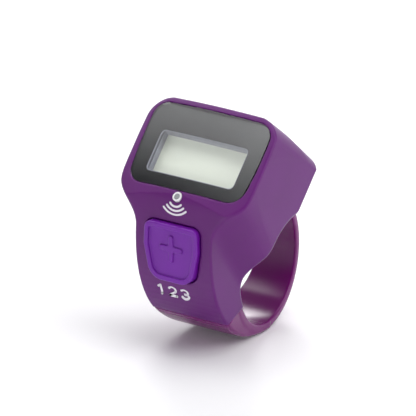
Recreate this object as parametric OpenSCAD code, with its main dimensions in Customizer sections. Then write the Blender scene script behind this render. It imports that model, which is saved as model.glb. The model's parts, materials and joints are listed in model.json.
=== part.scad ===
// Finger-worn digital tally counter, with its case, ring, display, switch and battery drawer.
// Millimetres. The origin is the centre of the finger hole. X runs along the finger, the count
// button faces -Y and +Z is up. The display leans back above the button.

/* [Head] */
// Greatest width of the head across the finger hole's axis
head_w = 24; // [23.5:0.1:24.5]
// How far the head's sides draw in from that width to its top corners
side_draw = 0.6; // [0.4:0.1:1]
// Depth of the head, from the display face to the rear face
head_d = 14.3; // [14.1:0.1:14.8]
// Height of the head above the lamp, measured along the display
head_top = 15.2; // [15:0.1:16]
// Corner radius at the top of the head
head_corner_r = 3.2; // [3:0.1:5]
// How far the display face drops from its middle to its sides
crown = 0.9; // [0.5:0.1:1]
// Thickness of the case walls
wall = 1.2; // [1.1:0.05:1.3]

/* [Ring] */
// Radius of the finger hole
finger_r = 9.4; // [9:0.1:9.6]
// Thickness of the band behind the finger
band_t = 1.3; // [1.2:0.05:1.4]
// Width of the band at the front
band_front_w = 14; // [13.5:0.1:14.5]
// Width of the band behind the finger
band_back_w = 6.6; // [5:0.1:9]

/* [Display] */
// Height of the window in the mask
window_h = 6.8; // [6:0.1:7]
// Width of the window in the mask
window_w = 15.9; // [14:0.1:16]
// Thickness of the clear lens
lens_t = 1.2; // [1.1:0.05:1.25]

/* [Count button] */
// How far the button stands out of the case
button_proud = 0.75; // [0.6:0.05:1]
// Travel of the button
button_travel = 0.4; // [0.2:0.05:0.4]
// Gap around the button
button_gap = 0.15; // [0.1:0.01:0.2]

/* [Battery] */
// Radius of the coin cell
cell_r = 5.8; // [5.6:0.05:5.8]
// Thickness of the coin cell
cell_t = 3.05; // [2.6:0.05:3.05]
// Gap around the battery drawer
drawer_gap = 0.15; // [0.1:0.01:0.2]

/* [Hidden] */

$fn = 64;
steps = 12;                    // steps along each curved part of an outline
far = 40;                      // longer than the whole object

lamp_y = -15.9;                // the lamp below the display is the display frame's origin
lamp_z = 13.9;
display_tilt = 49;             // the display's own up direction, above horizontal
neck_tilt = 37;                // the neck's flanks sweep down and back, square to this direction
seam_tilt = 24;                // the seam below the button is a plane through the hole's axis
face_h = 0.3;                  // display face above the lamp's own plane
crown_r = head_w * head_w / 8 / crown;
rear_h = face_h - head_d;      // rear face of the head
plate_h = rear_h + 1.4;        // inner face of the rear plate
front_y = -17.25;              // foremost line of the case, beside the button
front_z = 6.5;
ring_r = finger_r + band_t;
fit = 0.05;                    // gap between the two case halves
seam_gap = 0.1;

lens_bottom = 1.05;
lens_top = 14.2;
lens_half_top = 10.5;
lens_half_bottom = 10.1;
lens_bulge = 0.35;             // how far the lens's sides bow out between its corners
head_mid = 6.5;                // height of the head's widest line
lens_corner = 2.4;
window_mid = 6.6;
mask_h = face_h - lens_t;      // front of the printed mask
ledge_h = mask_h - 0.25;       // ledge that the lens is glued to
ledge_t = 0.7;
glass_w = 17.6;
glass_front_h = -3.2;          // front of the display stack
board_front_h = -4.7;
board_t = 0.6;
board_back_h = board_front_h - board_t;

button_top = 10.1;
button_bottom = 1.1;
lamp_r = 0.46;
collar_r = 0.74;
button_face_y = front_y - button_proud;
flange_y = front_y + wall + 0.2;
flange_w = 0.5;                // the two ears that keep the button in its opening
flange_z = [3, 9];
switch_board_y = -12.3;        // front face of the switch's own board
switch_depth = 1.5;
switch_z = 6.0;

cell_front_h = -6.55;
cell_back_h = cell_front_h - cell_t;
cell_mid = 7.35;
tray_front_h = cell_front_h - 0.2;
tray_back_h = cell_back_h - 0.5;
tray_half = cell_r + 0.8;
tray_start = 1.0;
drawer_face_t = 1.0;
boss_x = 8.7;
boss_t = 11.4;
boss_r = 1.35;
screw_r = 0.6;

// ---- helpers ----

// A point in the display frame, as [y, z]: t along the display, h out of it
function at(t, h) = [
    lamp_y + t * cos(display_tilt) - h * sin(display_tilt),
    lamp_z + t * sin(display_tilt) + h * cos(display_tilt)
];

// Points along a cubic curve
function curve(a, b, c, d) = [for (i = [0:steps]) let (k = i / steps, j = 1 - k)
    a * j * j * j + 3 * b * j * j * k + 3 * c * j * k * k + d * k * k * k];

function mirrored(points) = [for (i = [len(points) - 1:-1:0]) [-points[i][0], points[i][1]]];

// Places its children in the display frame: X across, Y up the display, Z out of it
module on_display() {
    translate([0, lamp_y, lamp_z]) rotate([display_tilt, 0, 0]) children();
}

// A box given by its corners in the display frame
module display_box(x, t0, t1, h0, h1) {
    on_display() translate([-x, t0, h0]) cube([2 * x, t1 - t0, h1 - h0]);
}

module x_cylinder(r, length = 2 * far) {
    rotate([0, 90, 0]) cylinder(r = r, h = length, center = true, $fn = 96);
}

// ---- outer form, shared by both case halves ----

// Side view of the head and neck, as [y, z]
function side_points() = concat(
    [at(head_top, rear_h), at(head_top, face_h)],
    curve(at(0.5, face_h), at(-1.1, face_h), [front_y, front_z + 3], [front_y, front_z]),
    curve([front_y, front_z], [front_y, front_z - 9.9], [-11.2, -ring_r - 0.2], [0, -ring_r]),
    [[0, 0], at(0, rear_h)]
);

// The neck seen along its flanks: half of the outline, from the bottom up
function neck_half() = concat(
    [[band_front_w / 2, -far]],
    curve([band_front_w / 2, -4.2], [band_front_w / 2, -1.8], [head_w / 2, -0.8], [head_w / 2, 3.2]),
    [[head_w / 2, far]]
);

module neck_prism(inset = 0) {
    translate([0, lamp_y, lamp_z]) rotate([neck_tilt, 0, 0])
        linear_extrude(height = 2 * far, center = true)
            offset(delta = -inset) polygon(concat(neck_half(), mirrored(neck_half())));
}

// The head seen square to the display: half of the outline, from the bottom up
function head_half() = [for (i = [0:steps]) let (t = -6 + (head_top + 6) * i / steps)
    [head_w / 2 - side_draw * pow((t - head_mid) / (head_top - head_mid), 2), t]];

module head_prism(inset = 0) {
    on_display() linear_extrude(height = 2 * far, center = true)
        offset(r = head_corner_r - inset, $fn = 48) offset(delta = -head_corner_r)
            polygon(concat([[head_half()[0][0], -far]], head_half(), mirrored(head_half()), [[-head_half()[0][0], -far]]));
}

module side_prism(inset = 0) {
    rotate([90, 0, 90]) linear_extrude(height = head_w + 2, center = true)
        offset(delta = -inset) polygon(side_points());
}

// The gentle barrel that the display face follows
module crown_barrel(drop = 0) {
    on_display() translate([0, 0, face_h - crown_r]) rotate([90, 0, 0])
        cylinder(r = crown_r - drop, h = 2 * far, center = true, $fn = 180);
}

module case_form(inset = 0) {
    intersection() {
        side_prism(inset);
        neck_prism(inset);
        head_prism(inset);
        crown_barrel(inset);
    }
}

module below_seam(gap = 0) {
    rotate([seam_tilt, 0, 0]) translate([-far, -far, -2 * far + gap]) cube([2 * far, 2 * far, 2 * far]);
}

// Plan view of the band, narrowing from the front to behind the finger
module band_taper() {
    linear_extrude(height = 2 * far, center = true)
        polygon([
            [-band_front_w / 2, -far], [band_front_w / 2, -far],
            [band_front_w / 2, -12.5], [band_back_w / 2, ring_r + 0.5],
            [-band_back_w / 2, ring_r + 0.5], [-band_front_w / 2, -12.5]
        ]);
}

// Half of the lens's outline, from the bottom up
function lens_half() = [for (i = [0:steps]) let (k = i / steps)
    [lens_half_bottom + (lens_half_top - lens_half_bottom) * k + lens_bulge * 4 * k * (1 - k),
     lens_bottom + (lens_top - lens_bottom) * k]];

module lens_outline(inset = 0) {
    offset(r = lens_corner - inset, $fn = 40) offset(delta = -lens_corner)
        polygon(concat(lens_half(), mirrored(lens_half())));
}

// Shield outline of the count button, as seen from the front
module button_outline(grow = 0) {
    hull() for (s = [-1, 1]) {
        translate([s * 3.55, button_top - 1.3]) circle(r = 1.3 + grow, $fn = 32);
        translate([s * 3.65, 6.5]) circle(r = 1.3 + grow, $fn = 32);
        translate([s * 1.7, button_bottom + 2.6]) circle(r = 2.6 + grow, $fn = 48);
    }
}

// Extrudes a front view, drawn as [x, z], from y0 back to y1
module from_front(y0, y1) {
    translate([0, y1, 0]) rotate([90, 0, 0]) linear_extrude(height = y1 - y0) children();
}

// The button's ears, or with a gap the pocket behind the opening that they move in
module button_ears(y1, gap = 0) {
    intersection() {
        from_front(flange_y - gap / 2, y1) button_outline(flange_w + gap);
        translate([-far, -far, flange_z[0] - gap]) cube([2 * far, 2 * far, flange_z[1] - flange_z[0] + 2 * gap]);
    }
}

module drawer_opening() {
    display_box(tray_half + 0.1 + drawer_gap, head_top - 2.5, head_top + 2,
                tray_back_h - 0.3 - drawer_gap, tray_front_h + 0.3 + drawer_gap);
}

// ---- case ----

module front_case() {
    color("#6b2a80") difference() {
        union() {
            difference() {
                case_form();
                case_form(wall);
                intersection() {
                    neck_prism(wall);
                    head_prism(wall);
                    union() {
                        x_cylinder(ring_r + fit);
                        display_box(far, 0, far, -far, plate_h + fit);
                    }
                }
            }
            on_display() translate([0, 0, ledge_h - ledge_t])
                linear_extrude(height = ledge_t + 0.3) lens_outline(-0.3);
            intersection() {
                case_form();
                on_display() for (s = [-1, 1])
                    translate([s * boss_x, boss_t, plate_h + 0.1]) {
                        cylinder(r = boss_r, h = 5);
                        translate([s > 0 ? 0 : -3, -0.6, 0]) cube([3, 1.2, 5]);
                    }
            }
        }
        on_display() translate([0, 0, ledge_h])
            linear_extrude(height = far) lens_outline(-0.08);
        on_display() translate([0, 0, -3])
            linear_extrude(height = far) lens_outline(1.2);
        on_display() for (s = [-1, 1])
            translate([s * boss_x, boss_t, plate_h]) cylinder(r = screw_r, h = 4.2);
        on_display() translate([0, 0, -3]) cylinder(r = collar_r + 0.01, h = 6);
        from_front(-far, -12) button_outline(button_gap);
        button_ears(-12, button_gap);
        drawer_opening();
        x_cylinder(finger_r);
        below_seam(seam_gap);
    }
}

module ring_case() {
    color("#7a3590") difference() {
        union() {
            difference() {
                intersection() {
                    x_cylinder(ring_r);
                    band_taper();
                }
                difference() {
                    case_form(-fit);
                    neck_prism(wall + fit);
                    below_seam();
                }
            }
            difference() {
                intersection() {
                    case_form();
                    neck_prism(wall + fit);
                    head_prism(wall + fit);
                    union() {
                        x_cylinder(ring_r);
                        display_box(far, 0, far, -far, plate_h);
                    }
                }
                below_seam();
            }
            intersection() {
                case_form();
                below_seam();
                band_taper();
            }
            for (z = [2.4, 6.2], x = [-3.5, 2.2])
                translate([x, switch_board_y + board_t, z]) cube([1.3, 4, 1]);
        }
        x_cylinder(finger_r);
        on_display() for (s = [-1, 1]) {
            translate([s * boss_x, boss_t, -far]) cylinder(r = screw_r + 0.1, h = 2 * far);
            translate([s * boss_x, boss_t, rear_h - 1]) cylinder(r = 1.25, h = 1.7);
        }
    }
}

module case_screws() {
    color("silver") on_display() for (s = [-1, 1])
        translate([s * boss_x, boss_t, rear_h + 0.1]) difference() {
            union() {
                cylinder(r = 1.15, h = 0.6);
                cylinder(r = screw_r - 0.02, h = 5);
            }
            translate([-1.3, -0.12, -0.1]) cube([2.6, 0.24, 0.4]);
            translate([-0.12, -1.3, -0.1]) cube([0.24, 2.6, 0.4]);
        }
}

// ---- display ----

module display_lens() {
    color("#c8d0d8") intersection() {
        on_display() translate([0, 0, mask_h])
            linear_extrude(height = lens_t) lens_outline();
        crown_barrel();
    }
}

module lens_mask() {
    color("#15151a") on_display() translate([0, 0, mask_h - 0.1])
        linear_extrude(height = 0.1) difference() {
            lens_outline(0.05);
            translate([0, window_mid]) offset(r = 0.8)
                square([window_w - 1.6, window_h - 1.6], center = true);
        }
}

module lens_adhesive() {
    color("#303038") on_display() translate([0, 0, ledge_h])
        linear_extrude(height = 0.15) difference() {
            lens_outline(0.1);
            lens_outline(1.1);
        }
}

module lcd_frame() {
    color("#8d8f96") difference() {
        display_box(9.5, 1.5, 12.3, board_front_h, ledge_h - ledge_t - fit);
        display_box(window_w / 2, window_mid - window_h / 2, window_mid + window_h / 2, -far, far);
        display_box(glass_w / 2 + 0.1, 1.8, 11.8, -far, glass_front_h);
    }
}

module lcd_front_polarizer() {
    color("#a9ada8") display_box(glass_w / 2 - 0.3, 3.0, 11.4, glass_front_h - 0.15, glass_front_h - 0.02);
}

module lcd_front_glass() {
    color("#b9c4c0") display_box(glass_w / 2, 2.9, 11.6, glass_front_h - 0.6, glass_front_h - 0.15);
}

module lcd_rear_glass() {
    color("#aab6b2") display_box(glass_w / 2, 1.9, 11.6, glass_front_h - 1.05, glass_front_h - 0.6);
}

module lcd_reflector() {
    color("#d9d9d2") display_box(glass_w / 2 - 0.3, 3.0, 11.4, glass_front_h - 1.2, glass_front_h - 1.05);
}

module zebra_connector() {
    color("#e08aa0") display_box(8.2, 1.95, 2.75, board_front_h, glass_front_h - 1.05);
}

// ---- electronics ----

module main_board() {
    color("#1f6b3a") display_box(9.2, 1.0, 12.6, board_back_h, board_front_h);
}

module counter_chip() {
    color("#111111") on_display() translate([0, 9.6, board_back_h]) rotate([180, 0, 0])
        rotate_extrude() polygon(concat([[0, 0]], [for (i = [0:8]) [2.6 * cos(i * 11.25), 0.8 * sin(i * 11.25)]]));
}

module crystal() {
    color("#c0c4c8") on_display() translate([-8.1, 2.6, board_back_h - 0.9]) rotate([-90, 0, 0])
        union() {
            cylinder(r = 0.8, h = 5);
            for (s = [-1, 1])
                translate([s * 0.35, 0, -1]) cylinder(r = 0.12, h = 1.2, $fn = 16);
        }
}

module board_components() {
    color("#8a6a4a") on_display() {
        for (i = [0:3])
            translate([7.4, 2.2 + 1.9 * i, board_back_h - 0.55]) cube([0.9, 1.2, 0.55]);
        translate([-8.7, 9, board_back_h - 0.6]) cube([1.1, 1.0, 0.6]);
    }
}

module status_lamp() {
    color("#b8bcbc") on_display() union() {
        translate([0, 0, -0.9]) cylinder(r = lamp_r, h = 1.1);
        translate([0, 0, 0.2]) intersection() {
            sphere(r = lamp_r);
            translate([-1, -1, 0]) cube([2, 2, 0.2]);
        }
        translate([0, 0, -1.3]) cylinder(r = collar_r - 0.05, h = 0.4);
    }
}

module lamp_collar() {
    color("white") on_display() translate([0, 0, -0.85]) difference() {
        cylinder(r = collar_r, h = 1.2);
        translate([0, 0, -1]) cylinder(r = lamp_r + 0.02, h = 4);
    }
}

module switch_board() {
    color("#1f6b3a") translate([-4.2, switch_board_y, 1.8]) cube([8.4, board_t, 8.4]);
}

module switch_body() {
    color("#202024") difference() {
        translate([-2.25, switch_board_y - switch_depth, switch_z - 2.25]) cube([4.5, switch_depth, 4.5]);
        translate([0, switch_board_y - 0.3, switch_z]) rotate([90, 0, 0]) cylinder(r = 1.75, h = 0.9);
        translate([0, switch_board_y, switch_z]) rotate([90, 0, 0]) cylinder(r = 1.05, h = 3);
    }
}

module switch_dome() {
    color("#d0d0d0") translate([0, switch_board_y - 0.3, switch_z]) rotate([90, 0, 0])
        cylinder(r = 1.65, h = 0.12);
}

module switch_plunger() {
    color("#e8e0c8") translate([0, 0, switch_z]) union() {
        translate([0, switch_board_y - 0.85, 0]) rotate([90, 0, 0]) cylinder(r = 1.55, h = 0.3);
        translate([0, switch_board_y - 0.9, 0]) rotate([90, 0, 0]) cylinder(r = 0.9, h = 1.2);
    }
}

module flex_ribbon() {
    back_y = switch_board_y + board_t;
    color("#c07a20") translate([-4.1, 0, 0]) rotate([90, 0, 90]) linear_extrude(height = 2.4)
        polygon([
            at(1.0, board_back_h + 0.35), [back_y, 10.1], [back_y, 9.1],
            [back_y + 0.12, 9.1], [back_y + 0.12, 10.05], at(1.0, board_back_h + 0.2)
        ]);
}

module contact_negative() {
    color("#d8c070") on_display() translate([-1, 0, 0]) rotate([90, 0, 90]) linear_extrude(height = 2)
        polygon([
            [1.6, board_back_h], [3.4, board_back_h], [3.6, board_back_h - 0.3],
            [6.6, cell_front_h + 0.2], [7.6, cell_front_h + 0.2], [7.6, cell_front_h + 0.06],
            [6.5, cell_front_h + 0.06], [3.4, board_back_h - 0.45], [3.2, board_back_h - 0.15],
            [1.6, board_back_h - 0.15]
        ]);
}

module contact_positive() {
    color("#d8c070") on_display() translate([-1.5, 0, 0]) rotate([90, 0, 90]) linear_extrude(height = 3)
        polygon([
            [0.2, board_back_h], [1.5, board_back_h], [1.5, board_back_h - 0.15],
            [0.35, board_back_h - 0.15], [0.35, cell_back_h - 0.12], [1.6, cell_back_h - 0.06],
            [4.6, cell_back_h - 0.06], [4.6, cell_back_h - 0.18], [1.6, cell_back_h - 0.2],
            [0.2, cell_back_h - 0.26]
        ]);
}

// ---- button ----

module count_button() {
    color("#6a2aa8") union() {
        difference() {
            from_front(button_face_y, flange_y + 0.3) button_outline();
            from_front(button_face_y - 1, button_face_y + 0.45) offset(delta = -1.15) button_outline();
        }
        button_ears(flange_y + 0.5);
        translate([0, switch_board_y - 2.1, switch_z]) rotate([90, 0, 0])
            cylinder(r = 1.3, h = switch_board_y - 2.1 - flange_y);
        plus = 0.35;
        for (a = [0, 90])
            translate([0, button_face_y + 0.5, switch_z + 0.3]) rotate([0, a, 0])
                translate([-2, -plus, -0.45]) cube([4, plus, 0.9]);
    }
}

// ---- battery ----

module battery_drawer() {
    color("#5d2472") difference() {
        union() {
            display_box(tray_half, tray_start, head_top - 0.5, tray_back_h, tray_front_h);
            display_box(tray_half + 0.1, head_top - drawer_face_t, head_top, tray_back_h - 0.3, tray_front_h + 0.3);
        }
        on_display() translate([0, cell_mid, cell_back_h - 0.03]) cylinder(r = cell_r + 0.1, h = far);
        display_box(2, tray_start - 1, cell_mid, -far, far);
        display_box(2.6, head_top - 0.35, head_top + 1, tray_front_h - 0.3, tray_front_h + 0.1);
    }
}

module coin_cell() {
    color("#c9ccd0") on_display() translate([0, cell_mid, cell_back_h]) union() {
        cylinder(r = cell_r, h = cell_t - 0.3);
        cylinder(r = cell_r - 1, h = cell_t);
    }
}

front_case();
ring_case();
case_screws();
display_lens();
lens_mask();
lens_adhesive();
lcd_frame();
lcd_front_polarizer();
lcd_front_glass();
lcd_rear_glass();
lcd_reflector();
zebra_connector();
main_board();
counter_chip();
crystal();
board_components();
status_lamp();
lamp_collar();
count_button();
switch_board();
switch_body();
switch_dome();
switch_plunger();
flex_ribbon();
contact_negative();
contact_positive();
battery_drawer();
coin_cell();
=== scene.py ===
"""Finger-worn tally counter: visible shells, prints, materials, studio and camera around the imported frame."""

import bpy
import math
import numpy as np
from mathutils import Matrix, Vector
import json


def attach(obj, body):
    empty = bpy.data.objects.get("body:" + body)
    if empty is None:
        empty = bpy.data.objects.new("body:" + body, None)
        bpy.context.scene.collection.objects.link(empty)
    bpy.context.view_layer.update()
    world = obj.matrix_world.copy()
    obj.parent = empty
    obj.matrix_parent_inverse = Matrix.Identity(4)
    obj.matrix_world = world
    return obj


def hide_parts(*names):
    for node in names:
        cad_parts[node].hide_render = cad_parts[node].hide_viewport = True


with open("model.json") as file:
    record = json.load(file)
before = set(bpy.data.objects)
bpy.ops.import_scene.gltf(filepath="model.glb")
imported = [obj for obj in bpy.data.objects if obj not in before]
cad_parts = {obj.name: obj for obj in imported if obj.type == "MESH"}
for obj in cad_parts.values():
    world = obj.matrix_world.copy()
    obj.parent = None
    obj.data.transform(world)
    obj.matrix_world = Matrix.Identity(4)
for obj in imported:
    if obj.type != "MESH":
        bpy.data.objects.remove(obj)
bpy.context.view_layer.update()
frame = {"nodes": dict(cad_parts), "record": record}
MM = 0.001

# ---- sizes, in millimetres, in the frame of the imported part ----
FINGER_R = frame["record"]["mounts"][0]["dims"]["r_mm"]
HEAD_W = 24.0
SIDE_DRAW = 0.6
HEAD_MID = 6.5
HEAD_TOP = 15.2
HEAD_DEPTH = 14.3
HEAD_CORNER = 3.8
REAR_CORNER = 2.6
CORNER_FLARE = math.radians(4)
SIDE_SLOPE = math.tan(math.radians(2.5))
CROWN_R = HEAD_W ** 2 / 8 / 0.9
WALL = 1.2
BAND_T = 1.3
BAND_FRONT_W = 14.0
BAND_BACK_W = 6.6
RING_R = FINGER_R + BAND_T
LAMP = np.array([0.0, -15.9, 13.9])
DISPLAY_TILT = math.radians(49)
NECK_TILT = math.radians(37)
SEAM_TILT = math.radians(24)
FACE_H = 0.3
REAR_H = FACE_H - HEAD_DEPTH
PLATE_H = REAR_H + 1.4
FRONT_Y, FRONT_Z = -17.25, 6.5
LEDGE_H = FACE_H - 1.45
LEDGE_HALF = 0.35
INSIDE_H = -3  # a depth inside the hollow head, where cuts from the display side stop
EDGE_R = 0.35
SIDE_EDGE_R = 0.6
SEAM_EDGE_R = 0.12
SEAM_GAP = 0.06
LENS_TOP, LENS_BOTTOM = 14.2, 1.05
LENS_HALF_BOTTOM = 10.1
LENS_SPREAD = 0.4
LENS_BOW = 1.4
LENS_CORNER = 2.4
BUTTON_FACE_Y = FRONT_Y - 0.75
BUTTON_TOP, BUTTON_BOTTOM = 10.1, 1.1
BUTTON_CORNER = 1.3
BUTTON_FOOT_R = 2.6
BUTTON_GAP = 0.15
BUTTON_RIM = 0.85
BUTTON_RECESS = 0.42
EAR_Z = 6
EAR_OUT, EAR_HALF = 0.5, 3
EAR_GAP = 0.15
PLUS_HALF, PLUS_BAR_HALF = 2.1, 0.42
PLUS_Z = 0.3  # how far the plus sits above the switch
STEM_R = 1.3
COLLAR_R = 0.74
COLLAR_GAP = 0.02
SWITCH_Z = 6.0
SCREW_X, SCREW_T = 8.7, 11.4
SCREW_HOLE_R = 0.7
SCREW_HEAD_R, SCREW_HEAD_DEPTH = 1.25, 0.7
BOSS_R = 1.35
BOSS_H, BOSS_HALF = -9.8, 2.5
DRAWER_HALF_W = 6.87
DRAWER_H, DRAWER_HALF_H = -8.425, 2.125
DRAWER_WALL = 2.5
WINDOW_W, WINDOW_H, WINDOW_R = 15.9, 6.8, 0.8
WINDOW_T = 6.6
INK_LIFT = 0.025
DIGIT_H = 1.9


# ---- signed distances: negative inside, arrays of any shape that broadcast together ----
def cap(a, b, r):
    """Both shapes at once, with the edge where they meet rounded to radius r."""
    return np.minimum(np.maximum(a, b), -r) + np.hypot(np.maximum(a + r, 0), np.maximum(b + r, 0))


def join(a, b, r):
    """Either shape, with a fillet of radius r between them."""
    return -cap(-a, -b, r)


def cut(a, b, r):
    """The first shape less the second, with the new edge rounded."""
    return cap(a, -b, r)


def bezier(a, b, c, d, steps=24):
    """Points along a cubic curve."""
    k = np.linspace(0, 1, steps + 1)[:, None]
    j = 1 - k
    a, b, c, d = (np.array(p, float) for p in (a, b, c, d))
    return a * j ** 3 + 3 * b * j ** 2 * k + 3 * c * j * k ** 2 + d * k ** 3


def polygon_distance(points, u, v):
    """Signed distance from (u, v) to a closed outline."""
    best = None
    inside = np.zeros(np.broadcast(u, v).shape, bool)
    for (ax, ay), (bx, by) in zip(points, np.roll(points, -1, axis=0)):
        ex, ey = bx - ax, by - ay
        wx, wy = u - ax, v - ay
        k = np.clip((wx * ex + wy * ey) / (ex * ex + ey * ey + 1e-12), 0, 1)
        d = (wx - k * ex) ** 2 + (wy - k * ey) ** 2
        best = d if best is None else np.minimum(best, d)
        if ay != by:
            inside ^= ((ay > v) != (by > v)) & (u < ex * (v - ay) / ey + ax)
    return np.where(inside, -1, 1) * np.sqrt(best)


def round_box(u, v, half_u, half_v, r):
    """Distance to a rectangle with round corners, centred on nought."""
    du, dv = np.abs(u) - half_u + r, np.abs(v) - half_v + r
    return np.minimum(np.maximum(du, dv), 0) + np.hypot(np.maximum(du, 0), np.maximum(dv, 0)) - r


def display_coords(y, z):
    """Height up the display and height out of it, from the lamp."""
    c, s = math.cos(DISPLAY_TILT), math.sin(DISPLAY_TILT)
    dy, dz = y - LAMP[1], z - LAMP[2]
    return dy * c + dz * s, dz * c - dy * s


def at(t, h):
    """A display-frame point as (y, z)."""
    c, s = math.cos(DISPLAY_TILT), math.sin(DISPLAY_TILT)
    return LAMP[1] + t * c - h * s, LAMP[2] + t * s + h * c


UPPER_FRONT = bezier(at(0.5, FACE_H), at(-1.1, FACE_H), (FRONT_Y, FRONT_Z + 3), (FRONT_Y, FRONT_Z))
LOWER_FRONT = bezier((FRONT_Y, FRONT_Z), (FRONT_Y, FRONT_Z - 9.9), (-11.2, -RING_R - 0.2), (0, -RING_R))
FAR = 40  # well past the object, where an outline closes
FRONT_OUTLINE = np.concatenate([
    [at(FAR, FACE_H)], UPPER_FRONT[:-1], LOWER_FRONT, [(FAR, -RING_R), (FAR, 70)]])
SIDE_OUTLINE = np.concatenate([
    [at(FAR, REAR_H), at(FAR, FACE_H)], UPPER_FRONT[:-1], LOWER_FRONT, [(0, 0), at(0, REAR_H)]])
NECK_CURVE = bezier(
    (BAND_FRONT_W / 2, -4.2), (BAND_FRONT_W / 2, -1.8), (HEAD_W / 2, -0.8), (HEAD_W / 2, 3.2))


def flank(x, y, z):
    """The neck's sides, which sweep down and back under the head."""
    q = (y - LAMP[1]) * math.sin(math.pi / 2 - NECK_TILT) + (z - LAMP[2]) * math.cos(math.pi / 2 - NECK_TILT)
    half = np.interp(q, NECK_CURVE[:, 1], NECK_CURVE[:, 0])
    slope = np.interp(q, NECK_CURVE[:, 1], np.gradient(NECK_CURVE[:, 0], NECK_CURVE[:, 1]))
    return (np.abs(x) - half) / np.sqrt(1 + slope ** 2)


def head_outline(x, t, corner):
    """The head seen square to the display, widest at HEAD_MID."""
    k = np.clip((t - HEAD_MID) / (HEAD_TOP - HEAD_MID), -1.5, 1.2)
    slope = 2 * SIDE_DRAW * k / (HEAD_TOP - HEAD_MID)
    side = (np.abs(x) - HEAD_W / 2 + SIDE_DRAW * k ** 2) / np.sqrt(1 + slope ** 2)
    return cap(side, t - HEAD_TOP, corner)


def sides(x, y, z):
    """The side walls and top of the head, down into the neck."""
    t, h = display_coords(y, z)
    flared = HEAD_TOP + (t - HEAD_TOP) * math.cos(CORNER_FLARE) + (h - FACE_H) * math.sin(CORNER_FLARE)
    drawn_in = (np.abs(x) - HEAD_W / 2 - h * SIDE_SLOPE) / math.hypot(1, SIDE_SLOPE)
    head = np.maximum(head_outline(x, t, REAR_CORNER), head_outline(x, flared, HEAD_CORNER))
    return cap(flank(x, y, z), np.maximum(head, drawn_in), SIDE_EDGE_R)


def body(x, y, z):
    """The outer form that both case halves share."""
    t, h = display_coords(y, z)
    front = np.maximum(polygon_distance(SIDE_OUTLINE, y, z), np.hypot(x, h - FACE_H + CROWN_R) - CROWN_R)
    return cap(front, sides(x, y, z), EDGE_R)


def bore(y, z):
    """The hole for the finger."""
    return np.hypot(y, z) - FINGER_R


def above_seam(y, z):
    """Height over the seam plane."""
    return z * math.cos(SEAM_TILT) - y * math.sin(SEAM_TILT)


def lens_outline(x, t, inset=0.0):
    """The lens, a little wider at its top than at its bottom, with sides that bow out."""
    k = np.clip((t - LENS_BOTTOM) / (LENS_TOP - LENS_BOTTOM), 0, 1)
    side = np.abs(x) - LENS_HALF_BOTTOM - LENS_SPREAD * k - LENS_BOW * k * (1 - k)
    return cap(cap(side, t - LENS_TOP, LENS_CORNER), LENS_BOTTOM - t, LENS_CORNER) + inset


def hull_outline(circles, steps=16):
    """Convex outline round circles given as (x, z, r), each on both sides."""
    points = []
    for cx, cz, r in circles:
        for side in (-1, 1):
            for k in range(steps * 4):
                a = math.pi * k / steps / 2
                points.append((side * cx + r * math.cos(a), cz + r * math.sin(a)))
    points = sorted(set(points))
    chains = []
    for order in (points, points[::-1]):
        chain = []
        for p in order:
            while len(chain) > 1 and ((chain[-1][0] - chain[-2][0]) * (p[1] - chain[-2][1])
                                      <= (chain[-1][1] - chain[-2][1]) * (p[0] - chain[-2][0])):
                chain.pop()
            chain.append(p)
        chains += chain[:-1]
    return np.array(chains)


BUTTON_OUTLINE = hull_outline([
    (3.55, BUTTON_TOP - BUTTON_CORNER, BUTTON_CORNER),
    (3.65, 6.5, BUTTON_CORNER),
    (1.7, BUTTON_BOTTOM + BUTTON_FOOT_R, BUTTON_FOOT_R)])


def front_case(x, y, z):
    """The front half: a hollow shell with its ledge, screw bosses and openings, down to the seam."""
    t, h = display_coords(y, z)
    outer = body(x, y, z)
    inner_sides = sides(x, y, z) + WALL
    shell = np.maximum(outer, -(outer + WALL))
    shell = np.maximum(shell, -np.maximum(inner_sides, np.hypot(y, z) - RING_R - SEAM_GAP))
    shell = np.maximum(shell, -np.maximum(np.maximum(inner_sides, h - PLATE_H - SEAM_GAP), -t))
    ledge = np.maximum(lens_outline(x, t, -0.3), np.abs(h - LEDGE_H + LEDGE_HALF) - LEDGE_HALF)
    boss_span = np.abs(h - BOSS_H) - BOSS_HALF
    boss = np.maximum(np.hypot(np.abs(x) - SCREW_X, t - SCREW_T) - BOSS_R, boss_span)
    rib = np.maximum(round_box(np.abs(x) - SCREW_X - 1.0, t - SCREW_T, 1.0, 0.6, 0.1), boss_span)
    boss = np.maximum(np.minimum(boss, rib), outer + 0.3)
    shell = np.minimum(shell, np.minimum(ledge, boss))
    shell = cut(shell, np.maximum(lens_outline(x, t, -0.1), LEDGE_H - h), SEAM_EDGE_R)
    shell = np.maximum(shell, -np.maximum(lens_outline(x, t, WALL), INSIDE_H - h))
    opening = np.maximum(polygon_distance(BUTTON_OUTLINE, x, z) - BUTTON_GAP, y + 12)
    shell = cut(shell, opening, 0.2)
    ear_span = np.abs(z - EAR_Z) - EAR_HALF - EAR_GAP
    ears = np.maximum(polygon_distance(BUTTON_OUTLINE, x, z) - EAR_OUT - EAR_GAP, ear_span)
    shell = np.maximum(shell, -np.maximum(ears, np.abs(y + 14) - 1.92))
    slot = round_box(x, h - DRAWER_H, DRAWER_HALF_W, DRAWER_HALF_H, 0.2)
    shell = cut(shell, np.maximum(slot, HEAD_TOP - DRAWER_WALL - t), 0.1)
    shell = cut(shell, np.maximum(np.hypot(x, t) - COLLAR_R - COLLAR_GAP, INSIDE_H - h), 0.08)
    shell = cut(shell, bore(y, z), 0.7)
    return cap(shell, SEAM_GAP - above_seam(y, z), SEAM_EDGE_R)


def band_half(y):
    """Half width of the band, which narrows from the front to behind the finger."""
    k = np.clip((y + 12.5) / (RING_R + 13.0), 0, 1)
    return BAND_FRONT_W / 2 + (BAND_BACK_W - BAND_FRONT_W) / 2 * k


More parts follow.
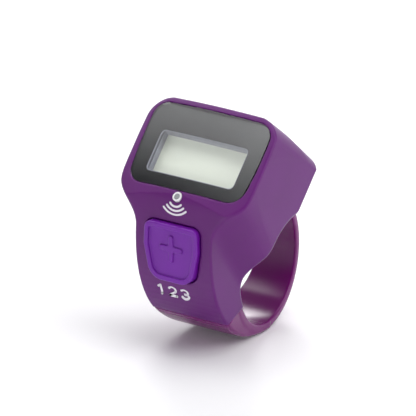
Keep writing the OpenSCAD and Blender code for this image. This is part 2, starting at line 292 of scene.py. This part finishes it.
def ring_case(x, y, z):
    """The rear half: band, front below the seam, liner inside the front half and rear plate."""
    t, h = display_coords(y, z)
    outer = body(x, y, z)
    radius = np.hypot(y, z)
    taper = np.abs(x) - band_half(y)
    band = cap(radius - RING_R, taper, 0.5)
    inner_sides = sides(x, y, z) + WALL + SEAM_GAP
    plate = np.maximum(h - PLATE_H, -t)
    liner = np.maximum(np.maximum(outer, inner_sides), np.minimum(radius - RING_R, plate))
    liner = np.maximum(liner, -above_seam(y, z))
    front = polygon_distance(FRONT_OUTLINE, y, z)
    joint = cap(cap(front, taper, 0.6), above_seam(y, z), SEAM_EDGE_R)
    joint = np.maximum(joint, y - 0.5)
    ribs = np.maximum(round_box(np.abs(x) - 2.85, y + 9.7, 0.65, 2.0, 0.1),
                      np.minimum(np.abs(z - 2.9), np.abs(z - 6.7)) - 0.5)
    walls = np.maximum(np.maximum(outer - 0.05, -inner_sides), -above_seam(y, z))
    whole = np.maximum(join(band, joint, 0.4), -walls)
    whole = np.minimum(np.minimum(whole, liner), ribs)
    screw = np.hypot(np.abs(x) - SCREW_X, t - SCREW_T)
    whole = np.maximum(whole, -np.maximum(screw - SCREW_HOLE_R, h - PLATE_H - 1))
    whole = cut(whole, np.maximum(screw - SCREW_HEAD_R, h - REAR_H - SCREW_HEAD_DEPTH), 0.08)
    return cut(whole, bore(y, z), 0.35)


def button_cap(x, y, z):
    """The count button: a dished cap with a raised plus, its two ears and the stem that meets the switch."""
    outline = polygon_distance(BUTTON_OUTLINE, x, z)
    skirt = cap(outline, np.maximum(BUTTON_FACE_Y - y, y - FRONT_Y - WALL - 0.5), 0.32)
    recess = cap(outline + BUTTON_RIM, y - BUTTON_FACE_Y - BUTTON_RECESS, 0.15)
    cap_form = cut(skirt, recess, 0.18)
    lift = np.maximum(BUTTON_FACE_Y + 0.14 - y, y - BUTTON_FACE_Y - 0.7)
    bar_up = round_box(x, z - SWITCH_Z - PLUS_Z, PLUS_BAR_HALF, PLUS_HALF, 0.4)
    bar_across = round_box(x, z - SWITCH_Z - PLUS_Z, PLUS_HALF, PLUS_BAR_HALF, 0.4)
    motif = cap(join(bar_up, bar_across, 0.3), lift, 0.13)
    ear_span = np.abs(z - EAR_Z) - EAR_HALF
    ears = np.maximum(np.maximum(outline - EAR_OUT, ear_span), np.abs(y - FRONT_Y - WALL - 0.45) - 0.25)
    stem = np.maximum(np.hypot(x, z - SWITCH_Z) - STEM_R, np.abs(y + 15.1) - 0.7)
    return np.minimum(np.minimum(join(cap_form, motif, 0.1), ears), stem)


# ---- meshes from distances ----
def surface_net(distance, low, high, cell):
    """Vertices and quads of the surface inside a box, one vertex in each cell that the surface crosses."""
    low, high = np.array(low, float), np.array(high, float)
    count = np.ceil((high - low) / cell).astype(int) + 1
    axes = [low[i] + cell * np.arange(count[i]) for i in range(3)]
    x, y, z = axes[0][:, None, None], axes[1][None, :, None], axes[2][None, None, :]
    field = np.broadcast_to(distance(x, y, z), tuple(count)).astype(np.float32)
    inside = field < 0
    total = np.zeros(tuple(count - 1) + (3,), np.float32)
    hits = np.zeros(tuple(count - 1), np.int32)
    for axis in range(3):
        near = [slice(None)] * 3
        near[axis] = slice(0, -1)
        beyond = [slice(None)] * 3
        beyond[axis] = slice(1, None)
        a, b = field[tuple(near)], field[tuple(beyond)]
        crossed = inside[tuple(near)] != inside[tuple(beyond)]
        share = np.where(crossed, a / np.where(a == b, 1, a - b), 0)
        others = [i for i in range(3) if i != axis]
        for du in (0, 1):
            for dv in (0, 1):
                part = [slice(None)] * 3
                part[others[0]] = slice(du, du - 1 or None)
                part[others[1]] = slice(dv, dv - 1 or None)
                c, s = crossed[tuple(part)], share[tuple(part)]
                hits += c
                total[..., axis] += s
                total[..., others[0]] += np.where(c, du, 0)
                total[..., others[1]] += np.where(c, dv, 0)
    live = hits > 0
    index = np.full(live.shape, -1, np.int64)
    index[live] = np.arange(live.sum())
    cells = np.argwhere(live)
    points = low + cell * (cells + total[live] / hits[live][:, None])
    quads = []
    for axis in range(3):
        near = [slice(1, -1)] * 3
        near[axis] = slice(0, -1)
        beyond = [slice(1, -1)] * 3
        beyond[axis] = slice(1, None)
        a, b = inside[tuple(near)], inside[tuple(beyond)]
        others = [(axis + 1) % 3, (axis + 2) % 3]
        at_edge = np.argwhere(a != b)
        base = at_edge.copy()
        base[:, others[0]] += 1
        base[:, others[1]] += 1
        flip = b[tuple(at_edge.T)]
        corners = []
        for du, dv in ((1, 1), (0, 1), (0, 0), (1, 0)):
            cell_at = base.copy()
            cell_at[:, others[0]] -= du
            cell_at[:, others[1]] -= dv
            corners.append(index[tuple(cell_at.T)])
        quad = np.stack(corners, 1)
        quad[flip] = quad[flip][:, ::-1]
        quads.append(quad)
    return points, np.concatenate(quads)


def gradient(distance, points, step=0.02):
    """The slope of the distance at each point."""
    result = np.empty_like(points)
    for axis in range(3):
        offset = np.zeros(3)
        offset[axis] = step
        ahead, behind = points + offset, points - offset
        result[:, axis] = (distance(*ahead.T) - distance(*behind.T)) / (2 * step)
    return result


def settle(distance, points, limit, rounds=4):
    """Moves points onto the surface, each by no more than limit, and returns their normals too."""
    moved = points.copy()
    for _ in range(rounds):
        slope = gradient(distance, moved)
        size = np.maximum((slope ** 2).sum(1), 0.25)
        moved = moved - slope * (distance(*moved.T) / size)[:, None]
        shift = moved - points
        length = np.linalg.norm(shift, axis=1)
        moved = points + shift * np.minimum(1, limit / np.maximum(length, 1e-9))[:, None]
    slope = gradient(distance, moved)
    return moved, slope / np.maximum(np.linalg.norm(slope, axis=1), 1e-9)[:, None]


def new_object(name, points, faces, normals=None):
    """A smooth mesh object from points in millimetres."""
    mesh = bpy.data.meshes.new(name)
    mesh.from_pydata((np.asarray(points) * MM).tolist(), [], [list(map(int, f)) for f in faces])
    mesh.validate()
    mesh.polygons.foreach_set("use_smooth", [True] * len(mesh.polygons))
    if normals is not None and len(normals) == len(mesh.vertices):
        mesh.normals_split_custom_set_from_vertices(normals.tolist())
    mesh.update()
    piece = bpy.data.objects.new(name, mesh)
    bpy.context.scene.collection.objects.link(piece)
    return piece


def solid(name, distance, low, high, cell):
    """A piece whose surface is where the distance is nought."""
    points, quads = surface_net(distance, low, high, cell)
    points, normals = settle(distance, points, cell * 0.8)
    return new_object(name, points, quads, normals)


# ---- finishes ----
MOTTLE_SCALE = 180
GRAIN_SIZE = 0.25
GRAIN_DEPTH = 0.02


def srgb(*channels):
    """A linear colour from display values of 0 to 255."""
    return tuple(((c / 255 + 0.055) / 1.055) ** 2.4 if c > 10 else c / 3294.6 for c in channels) + (1,)


def set_inputs(shader, **values):
    for label, value in values.items():
        shader.inputs[label.replace("_", " ")].default_value = value


def finish_of(name, colour, rough, metal=0.0, tone=0.06, grain=0.0, coat=0.0, **more):
    """A plastic, ink, glass or metal finish, with faint mottling and a fine grain where asked for."""
    material = bpy.data.materials.new(name)
    material.use_nodes = True
    nodes, links = material.node_tree.nodes, material.node_tree.links
    shader = nodes["Principled BSDF"]
    set_inputs(shader, Metallic=metal, Roughness=rough, Coat_Weight=coat, Coat_Roughness=0.08, **more)
    if tone or grain:
        place = nodes.new("ShaderNodeTexCoord")
    if tone:
        mottle = nodes.new("ShaderNodeTexNoise")
        mottle.inputs["Scale"].default_value = MOTTLE_SCALE
        mottle.inputs["Detail"].default_value = 3
        links.new(place.outputs["Object"], mottle.inputs["Vector"])
        ramp = nodes.new("ShaderNodeValToRGB")
        ramp.color_ramp.elements[0].position = 0.25
        ramp.color_ramp.elements[1].position = 0.75
        ramp.color_ramp.elements[0].color = tuple(c * (1 - tone) for c in colour[:3]) + (1,)
        ramp.color_ramp.elements[1].color = tuple(min(c * (1 + tone), 1) for c in colour[:3]) + (1,)
        links.new(mottle.outputs["Fac"], ramp.inputs["Fac"])
        links.new(ramp.outputs["Color"], shader.inputs["Base Color"])
    else:
        set_inputs(shader, Base_Color=colour)
    if grain:
        fine = nodes.new("ShaderNodeTexNoise")
        fine.inputs["Scale"].default_value = 1 / (GRAIN_SIZE * MM)
        fine.inputs["Detail"].default_value = 2
        bump = nodes.new("ShaderNodeBump")
        bump.inputs["Strength"].default_value = grain
        bump.inputs["Distance"].default_value = GRAIN_DEPTH * MM
        links.new(place.outputs["Object"], fine.inputs["Vector"])
        links.new(fine.outputs["Fac"], bump.inputs["Height"])
        links.new(bump.outputs["Normal"], shader.inputs["Normal"])
    return material


def dress(piece, material):
    piece.data.materials.clear()
    piece.data.materials.append(material)


def dress_node(node, material):
    piece = frame["nodes"][node]
    for material_slot in piece.material_slots:
        material_slot.link = "OBJECT"
        material_slot.material = material


CASE = finish_of("case plastic", srgb(90, 14, 104), 0.36, grain=0.2, Specular_IOR_Level=0.35)
RING = finish_of("ring plastic", srgb(104, 12, 98), 0.24, grain=0.1, Specular_IOR_Level=0.4)
BUTTON = finish_of("button plastic", srgb(106, 14, 150), 0.36, grain=0.3, Specular_IOR_Level=0.4)
LENS = finish_of("clear lens", srgb(246, 248, 250), 0.03, tone=0.0, Transmission_Weight=1.0, IOR=1.49)
# The clear lens lets the light of the lamps through to the panel behind it
lens_tree = LENS.node_tree
lens_mix = lens_tree.nodes.new("ShaderNodeMixShader")
lens_path = lens_tree.nodes.new("ShaderNodeLightPath")
lens_clear = lens_tree.nodes.new("ShaderNodeBsdfTransparent")
lens_tree.links.new(lens_path.outputs["Is Shadow Ray"], lens_mix.inputs["Fac"])
lens_tree.links.new(lens_tree.nodes["Principled BSDF"].outputs["BSDF"], lens_mix.inputs[1])
lens_tree.links.new(lens_clear.outputs["BSDF"], lens_mix.inputs[2])
lens_tree.links.new(lens_mix.outputs["Shader"], lens_tree.nodes["Material Output"].inputs["Surface"])
BLACK_PRINT = finish_of("black print", srgb(11, 11, 15), 0.3, Specular_IOR_Level=0.15)
TUNNEL = finish_of("grey frame plastic", srgb(140, 141, 152), 0.5, grain=0.1)
PANEL = finish_of("display panel", srgb(222, 226, 210), 0.4, tone=0.02)
GLASS = finish_of("display glass", srgb(190, 204, 198), 0.06, tone=0.0, Transmission_Weight=0.8, IOR=1.5)
REFLECTOR = finish_of("reflector foil", srgb(216, 216, 208), 0.35, metal=0.7)
RUBBER = finish_of("pink rubber", srgb(214, 120, 142), 0.6)
BOARD = finish_of("circuit board", srgb(26, 92, 52), 0.4, coat=0.4, grain=0.2)
EPOXY = finish_of("black epoxy", srgb(18, 18, 20), 0.22)
STEEL = finish_of("steel", srgb(196, 198, 202), 0.28, metal=1.0)
CERAMIC = finish_of("chip parts", srgb(150, 112, 78), 0.5)
LAMP_EPOXY = finish_of("lamp epoxy", srgb(150, 152, 156), 0.15, coat=0.5)
WHITE = finish_of("white plastic", srgb(232, 230, 234), 0.4)
WHITE_INK = finish_of("white ink", srgb(226, 222, 230), 0.5)
BLACK_PLASTIC = finish_of("black plastic", srgb(30, 30, 34), 0.42, grain=0.15)
FILM = finish_of("ribbon film", srgb(178, 106, 34), 0.3)
BRASS = finish_of("contact brass", srgb(206, 178, 106), 0.3, metal=1.0)
CREAM = finish_of("plunger plastic", srgb(226, 218, 194), 0.45)
FLOOR = finish_of("paper floor", srgb(244, 244, 246), 0.8, tone=0.004)

for node, material in {
    "case_screws": STEEL, "display_lens": LENS, "lens_mask": BLACK_PRINT, "lens_adhesive": BLACK_PRINT,
    "lcd_frame": TUNNEL, "lcd_front_polarizer": PANEL, "lcd_front_glass": GLASS,
    "lcd_rear_glass": GLASS, "lcd_reflector": REFLECTOR,
    "zebra_connector": RUBBER, "main_board": BOARD, "counter_chip": EPOXY, "crystal": STEEL,
    "board_components": CERAMIC, "status_lamp": LAMP_EPOXY, "lamp_collar": WHITE, "switch_board": BOARD,
    "switch_body": BLACK_PLASTIC, "switch_dome": STEEL, "switch_plunger": CREAM, "flex_ribbon": FILM,
    "contact_negative": BRASS, "contact_positive": BRASS, "battery_drawer": CASE, "coin_cell": STEEL,
}.items():
    dress_node(node, material)

# ---- the two shells and the button, each in place of its plainer CAD node ----
# In each row: piece, node, body, shape, two corners of the box round it, cell size, finish and slot
for name, node, body_name, distance, low, high, cell, material, slot_name in (
    ("front_shell", "front_case", "root", front_case,
     (-12.3, -18.2, -8), (12.3, 6, 26), 0.2, CASE, "case_purple"),
    ("ring_shell", "ring_case", "root", ring_case,
     (-10.8, -17, -11.2), (10.8, 11.2, 17), 0.2, RING, "ring_purple"),
    ("button_cap", "count_button", "button", button_cap,
     (-6, -18.2, -0.5), (6, -14, 12), 0.13, BUTTON, "button_violet"),
):
    shell = solid(name, distance, low, high, cell)
    dress(shell, material)
    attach(shell, body_name)
    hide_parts(node)

# The drawer and the lens are their CAD nodes with softened edges
for node, width in (("battery_drawer", 0.12), ("display_lens", 0.14)):
    soft = frame["nodes"][node].modifiers.new("soft edges", "BEVEL")
    soft.width = width * MM
    soft.segments = 3
    soft.limit_method = "ANGLE"
    soft.harden_normals = True

# The mask lies against the back of the lens, and a hair of air between them keeps the two faces apart
AIR_GAP = 0.02
for node in ("lens_mask", "lens_adhesive"):
    air = frame["nodes"][node].modifiers.new("air gap", "DISPLACE")
    air.mid_level = 0.0
    air.strength = -AIR_GAP * MM


# ---- prints, laid on the case as thin ink ----
def ribbon(path, width):
    """Quads along a path of (x, z) points, as wide as the stroke and four points across."""
    path = np.array(path, float)
    direction = np.gradient(path, axis=0)
    direction /= np.linalg.norm(direction, axis=1)[:, None]
    side = np.stack([-direction[:, 1], direction[:, 0]], 1) * width / 2
    rows = np.concatenate([path + side * k for k in (-1, -0.33, 0.33, 1)])
    n = len(path)
    faces = [(r * n + i, r * n + i + 1, (r + 1) * n + i + 1, (r + 1) * n + i)
             for r in range(3) for i in range(n - 1)]
    return rows, faces


def arc(cx, cz, radius_x, radius_z, start, end, steps=28):
    """Points along an arc, from one angle in degrees to another."""
    angles = np.radians(np.linspace(start, end, steps))
    return np.stack([cx + radius_x * np.cos(angles), cz + radius_z * np.sin(angles)], 1)


def line(ax, az, bx, bz, steps=10):
    """Points along a straight stroke."""
    k = np.linspace(0, 1, steps)[:, None]
    return np.array([ax, az]) * (1 - k) + np.array([bx, bz]) * k


def print_on_case(name, strokes, width, place, material):
    """Strokes of ink with round ends, which place puts near the case, and which are then laid onto it."""
    points, faces = [], []
    for stroke in strokes:
        rows, quads = ribbon(stroke, width)
        faces += [tuple(len(points) + i for i in quad) for quad in quads]
        points += [place(x, z) for x, z in rows]
        for x, z in (stroke[0], stroke[-1]):
            dot = arc(x, z, width / 2, width / 2, 0, 340, 18)
            faces.append(tuple(range(len(points), len(points) + len(dot))))
            points += [place(x, z) for x, z in dot]
    points, normals = settle(body, np.array(points), 2.0, rounds=6)
    for i, face in enumerate(faces):
        a, b, c = (points[face[k]] for k in (0, len(face) // 3, 2 * len(face) // 3))
        if np.dot(np.cross(b - a, c - a), normals[face[0]]) < 0:
            faces[i] = face[::-1]
    ink = new_object(name, points + normals * INK_LIFT, faces, normals)
    dress(ink, material)
    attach(ink, "root")


def below_lamp(x, drop):
    """A point of the case at a distance down from the lamp."""
    y, z = at(-drop, FACE_H)
    return x, y, z


def below_button(x, z):
    """A point in front of the case, from the middle of the foot of the printed number."""
    return x - 0.75, -17.5, z - 2.75


print_on_case("signal_arcs", [
    arc(0, 0.2, 1.3 + 0.7 * k, 1.5 + 0.72 * k, 42, 138) for k in range(3)], 0.36, below_lamp, WHITE_INK)

# One, two and three, stroke by stroke
print_on_case("printed_number", [
    line(-2.35, 0.0, -2.35, DIGIT_H), line(-2.8, DIGIT_H - 0.45, -2.35, DIGIT_H - 0.02),
    arc(-0.25, DIGIT_H - 0.58, 0.6, 0.58, 160, -35, 18),
    line(0.24, 1.0, -0.85, 0.08), line(-0.85, 0.06, 0.42, 0.06),
    arc(2.0, DIGIT_H - 0.52, 0.6, 0.52, 150, -90, 18), arc(2.0, 0.5, 0.66, 0.5, 90, -150, 18),
], 0.4, below_button, WHITE_INK)


# ---- the bright lip of the window, where the printed mask stops ----
def window_rim(inset, h, steps=10):
    """Points round the window, inside its edge by the inset, at one height in the display frame."""
    half_x, half_t, r = WINDOW_W / 2 - inset, WINDOW_H / 2 - inset, WINDOW_R
    points = []
    for sx, st, start in ((1, 1, 0), (-1, 1, 90), (-1, -1, 180), (1, -1, 270)):
        for k in range(steps + 1):
            a = math.radians(start + 90 * k / steps)
            points.append((sx * (half_x - r) + r * math.cos(a), st * (half_t - r) + r * math.sin(a)))
    result = []
    for x, t in points:
        y, z = at(t + WINDOW_T, h)
        result.append((x, y, z))
    return result


LIP_W = 0.13
LIP_BACK_H = -1.1
rim = window_rim(0.0, -0.995) + window_rim(LIP_W, -0.99)
rim += window_rim(LIP_W, LIP_BACK_H) + window_rim(0.0, LIP_BACK_H)
rim_count = len(rim) // 4
rim_faces = []
for loop in range(4):
    this, following = loop * rim_count, (loop + 1) % 4 * rim_count
    for i in range(rim_count):
        after = (i + 1) % rim_count
        rim_faces.append((this + i, this + after, following + after, following + i))
window_lip = new_object("window_lip", rim, rim_faces)
dress(window_lip, TUNNEL)
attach(window_lip, "root")

# ---- studio ----
FLOOR_REACH = 2.0
floor_mesh = bpy.data.meshes.new("floor")
floor_corners = [(FLOOR_REACH * x, FLOOR_REACH * y, 0) for x, y in ((-1, -1), (1, -1), (1, 1), (-1, 1))]
floor_mesh.from_pydata(floor_corners, [], [(0, 1, 2, 3)])
floor = bpy.data.objects.new("floor", floor_mesh)
floor.location.z = -RING_R * MM
bpy.context.scene.collection.objects.link(floor)
dress(floor, FLOOR)

# A white sky, bright near the ground and dimmer overhead
world = bpy.data.worlds.new("studio")
world.use_nodes = True
sky = world.node_tree
direction = sky.nodes.new("ShaderNodeTexCoord")
sky_split = sky.nodes.new("ShaderNodeSeparateXYZ")
fade = sky.nodes.new("ShaderNodeMapRange")
for label, value in (("From Min", 0.05), ("From Max", 0.55), ("To Min", 0.95), ("To Max", 0.2)):
    fade.inputs[label].default_value = value
sky.links.new(direction.outputs["Generated"], sky_split.inputs["Vector"])
sky.links.new(sky_split.outputs["Z"], fade.inputs["Value"])
sky.links.new(fade.outputs["Result"], sky.nodes["Background"].inputs["Strength"])
sky.nodes["Background"].inputs["Color"].default_value = (1, 1, 1, 1)
bpy.context.scene.world = world
bpy.context.scene.view_settings.view_transform = "Standard"

LIGHT_TARGET = Vector((0, -0.005, 0.006))


def soft_light(name, place, size, power):
    """A square area lamp that faces the object, with sizes in metres and power in watts."""
    light = bpy.data.lights.new(name, "AREA")
    light.shape = "SQUARE"
    light.size = size
    light.energy = power
    softbox = bpy.data.objects.new(name, light)
    softbox.location = place
    softbox.rotation_euler = (LIGHT_TARGET - Vector(place)).to_track_quat("-Z", "Y").to_euler()
    bpy.context.scene.collection.objects.link(softbox)
    return softbox


soft_light("right softbox", place=(0.30, 0.02, 0.22), size=0.22, power=0.6)
soft_light("low fill", place=(-0.02, -0.30, 0.04), size=0.15, power=0.2)
soft_light("rim softbox", place=(-0.24, 0.29, 0.19), size=0.2, power=1.0)
# A long softbox in front of the lens, brighter towards its upper edge, that lights no matt surface.
# From the lens it lies along glow_z, and glow_y runs up its short side.
GLOW_W, GLOW_H = 0.12, 0.04
GLOW_DISTANCE, GLOW_RISE, GLOW_LEFT = 0.08, 0.0136, 0.025
lens_middle = Vector((0, *at(7.6, FACE_H))) * MM
glow_z = Vector((-0.556, -0.438, 0.708)).normalized()
glow_y = Vector((0.142, 0.789, 0.598))
glow_y = (glow_y - glow_y.dot(glow_z) * glow_z).normalized()
glow_x = glow_y.cross(glow_z)
glow = soft_light("lens softbox", place=(0, 0, 1), size=GLOW_W, power=0.09)
glow.data.shape = "RECTANGLE"
glow.data.size_y = GLOW_H
glow.visible_diffuse = False
glow_place = lens_middle + glow_z * GLOW_DISTANCE + glow_y * GLOW_RISE - glow_x * GLOW_LEFT
glow_turn = Matrix((glow_x, glow_y, glow_z)).transposed().to_4x4()
glow.matrix_world = Matrix.Translation(glow_place) @ glow_turn
glow.data.use_nodes = True
glow_tree = glow.data.node_tree
across = glow_tree.nodes.new("ShaderNodeNewGeometry")
glow_split = glow_tree.nodes.new("ShaderNodeSeparateXYZ")
glow_tree.links.new(across.outputs["Parametric"], glow_split.inputs["Vector"])
glow_tree.links.new(glow_split.outputs["Y"], glow_tree.nodes["Emission"].inputs["Strength"])
soft_light("top softbox", place=(0.05, 0.1, 0.6), size=0.5, power=2.4)

# ---- camera ----
AZIMUTH, ELEVATION = math.radians(36.14), math.radians(19.54)
DISTANCE = 0.9
VIEW_W = 0.0614
SENSOR_W = 36
AIM_RIGHT, AIM_DOWN = 4.427, 1.564
right = Vector((math.cos(AZIMUTH), math.sin(AZIMUTH), 0))
level = math.cos(ELEVATION)
back = Vector((math.sin(AZIMUTH) * level, -math.cos(AZIMUTH) * level, math.sin(ELEVATION)))
up = back.cross(right)
aim = (Vector(LAMP) + right * AIM_RIGHT - up * AIM_DOWN) * MM
camera_data = bpy.data.cameras.new("camera")
camera_data.sensor_width = SENSOR_W
camera_data.lens = DISTANCE * SENSOR_W / VIEW_W
camera_data.clip_start = 0.01
camera = bpy.data.objects.new("camera", camera_data)
camera.location = aim + back * DISTANCE
camera.rotation_euler = back.to_track_quat("Z", "Y").to_euler()
bpy.context.scene.collection.objects.link(camera)
bpy.context.scene.camera = camera
